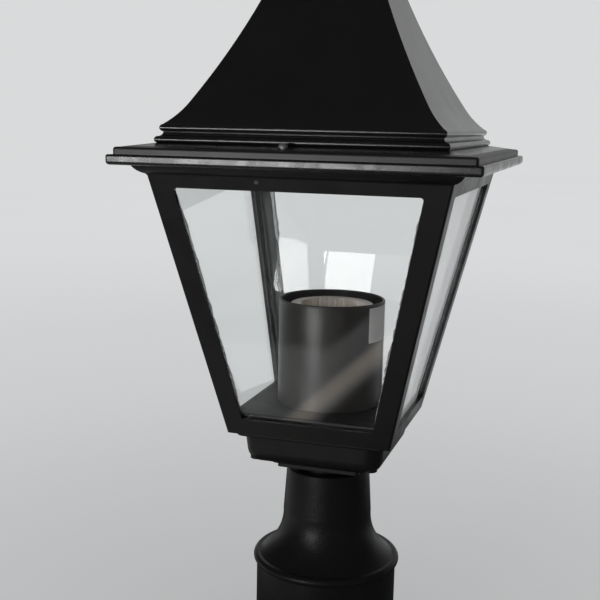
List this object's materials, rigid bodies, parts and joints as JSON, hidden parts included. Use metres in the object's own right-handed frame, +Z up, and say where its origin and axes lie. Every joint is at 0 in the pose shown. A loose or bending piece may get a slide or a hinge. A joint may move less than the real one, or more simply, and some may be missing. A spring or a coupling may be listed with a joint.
{
  "type": "post top lantern",
  "caption": "Square tapering post top garden lantern with clear panes, a concave hipped roof, a ceramic screw lampholder in a metal cup and a round collar for a 60 mm post.",
  "frame": {"origin": "centre of the collar's bottom rim", "axes": "+Z up along the post, -Y towards the front face with the left-of-centre roof screw, +X to its right"},
  "size_m": [0.155, 0.155, 0.3664],
  "materials": {
    "black_paint": "satin cast aluminium, black powder coat with fine orange peel",
    "cup_paint": "dark grey-brown lacquer on pressed steel, satin",
    "clear_glass": "clear float glass",
    "silicone": "clear sealant, glossy",
    "glazed_ceramic": "pale pinkish beige, semi-matt glaze",
    "brass": "plain, slightly dull",
    "zinc_steel": "zinc plated",
    "bright_nickel": "nickel plated, bright",
    "dark_steel": "blackened steel",
    "label": "plain pale label, matt",
    "gasket": "closed cell foam rubber, black",
    "connector": "natural polyamide",
    "bush": "soft pale plastic",
    "lead_brown": "brown insulation",
    "lead_blue": "blue insulation",
    "lead_earth": "green and yellow insulation"
  },
  "bodies": {
    "root": {"post_collar": "black_paint", "neck": "black_paint", "foot_plate": "black_paint", "base_tray": "black_paint", "lantern_frame": "black_paint", "floor_plate": "black_paint", "glass_front": "clear_glass", "glass_right": "clear_glass", "glass_back": "clear_glass", "glass_left": "clear_glass", "silicone_beads": "silicone", "holder_cup": "cup_paint", "holder_body": "glazed_ceramic", "holder_sticker": "label", "screw_shell": "brass", "centre_terminal": "brass", "shell_terminal": "brass", "holder_bracket": "zinc_steel", "holder_screws": "zinc_steel", "terminal_screws": "zinc_steel", "frame_screws": "zinc_steel", "earth_tag": "zinc_steel", "earth_screw": "zinc_steel", "nipple_tube": "zinc_steel", "nipple_nuts": "zinc_steel", "nipple_washer": "zinc_steel", "terminal_strap": "zinc_steel", "terminal_block_screws": "zinc_steel", "roof_gasket": "gasket", "terminal_block": "connector", "nipple_bushes": "bush", "lead_live": "lead_brown", "lead_neutral": "lead_blue", "lead_earth": "lead_earth"},
    "roof": {"roof_canopy": "black_paint", "roof_cap": "black_paint", "finial": "black_paint", "finial_stud": "zinc_steel", "finial_nut": "zinc_steel"},
    "roof_screw_front": {"roof_screw_front": "bright_nickel"},
    "roof_screw_back": {"roof_screw_back": "bright_nickel"},
    "grub_screw_1": {"grub_screw_1": "dark_steel"},
    "grub_screw_2": {"grub_screw_2": "dark_steel"},
    "grub_screw_3": {"grub_screw_3": "dark_steel"},
    "centre_contact": {"centre_contact": "brass"}
  },
  "joints": [
    {"name": "roof_lift", "type": "slide", "parent": "root", "child": "roof", "axis": [0, 0, 1], "range_m": [0, 0.1]},
    {"name": "roof_screw_front_turns_out", "type": "slide", "parent": "roof", "child": "roof_screw_front", "axis": [0, 0, 1], "range_m": [0, 0.01]},
    {"name": "roof_screw_back_turns_out", "type": "slide", "parent": "roof", "child": "roof_screw_back", "axis": [0, 0, 1], "range_m": [0, 0.01]},
    {"name": "grub_screw_1_turns_in", "type": "slide", "parent": "root", "child": "grub_screw_1", "axis": [0, -1, 0], "range_m": [0, 0.003]},
    {"name": "grub_screw_2_turns_in", "type": "slide", "parent": "root", "child": "grub_screw_2", "axis": [0.866, 0.5, 0], "range_m": [0, 0.003]},
    {"name": "grub_screw_3_turns_in", "type": "slide", "parent": "root", "child": "grub_screw_3", "axis": [-0.866, 0.5, 0], "range_m": [0, 0.003]},
    {"name": "contact_press", "type": "hinge", "parent": "root", "child": "centre_contact", "pos_m": [0, 0.0072, 0.15165], "axis": [1, 0, 0], "range_deg": [0, 6], "stiffness_Nm_per_rad": 0.05}
  ]
}
